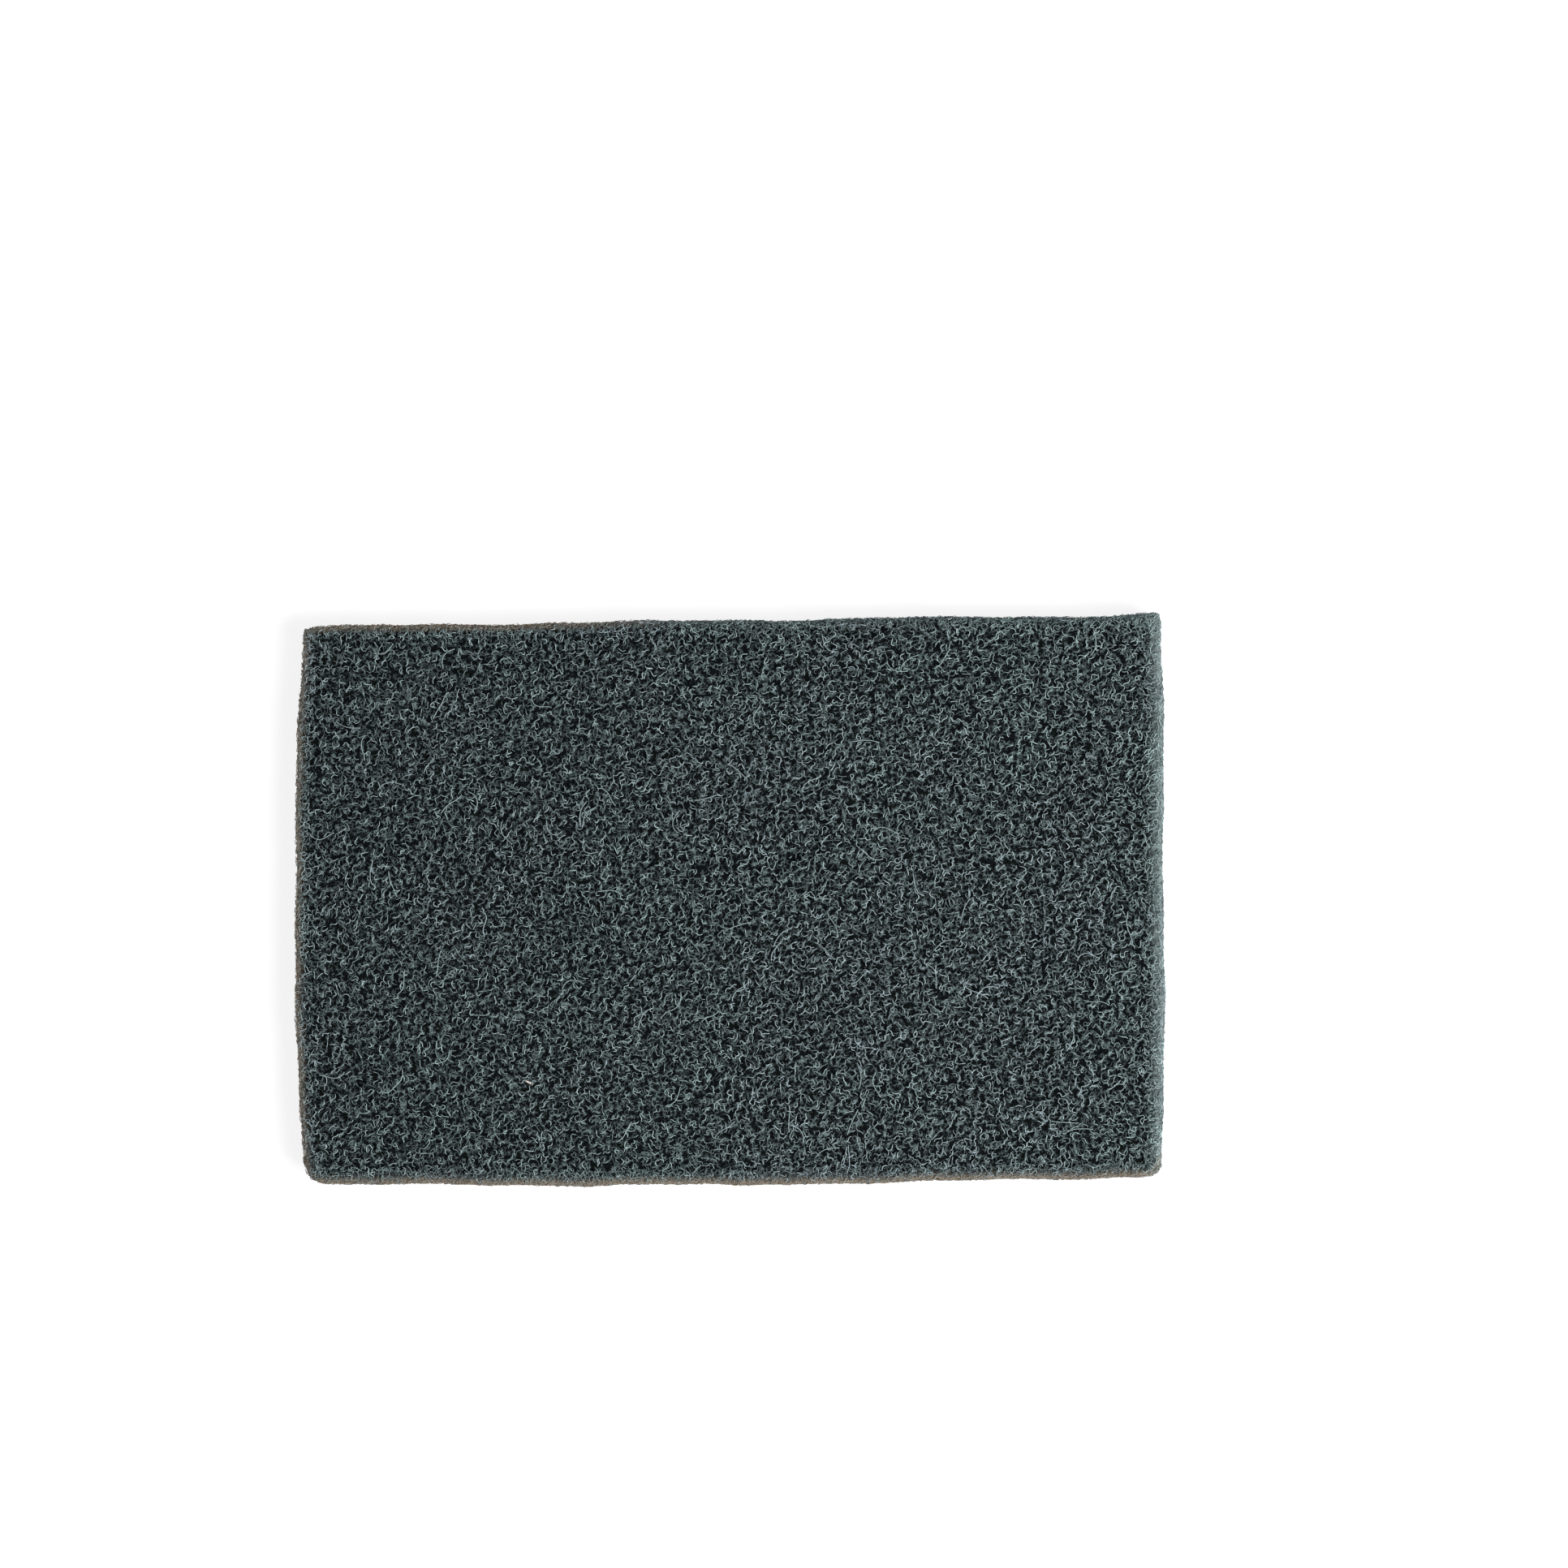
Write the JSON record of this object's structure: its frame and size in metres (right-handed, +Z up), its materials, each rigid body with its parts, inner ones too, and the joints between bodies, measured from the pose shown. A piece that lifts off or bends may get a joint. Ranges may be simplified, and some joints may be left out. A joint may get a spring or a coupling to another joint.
{
  "type": "nylon scouring pad",
  "caption": "Flat rectangular hand pad of bonded non-woven nylon web, with open porous faces and denser die-cut edges, for scouring and cleaning by hand.",
  "frame": {"origin": "under the middle of the pad's box, on the surface that it lies on", "axes": "+X along the length, +Y across the width towards the rear cut edge, +Z up through the thickness"},
  "size_m": [0.151, 0.0982, 0.008],
  "materials": {
    "web": "open web of crimped, resin-bonded nylon fibres, matt, grey-green with near-black pores"
  },
  "bodies": {
    "root": {"scouring_pad": "web"}
  },
  "joints": []
}
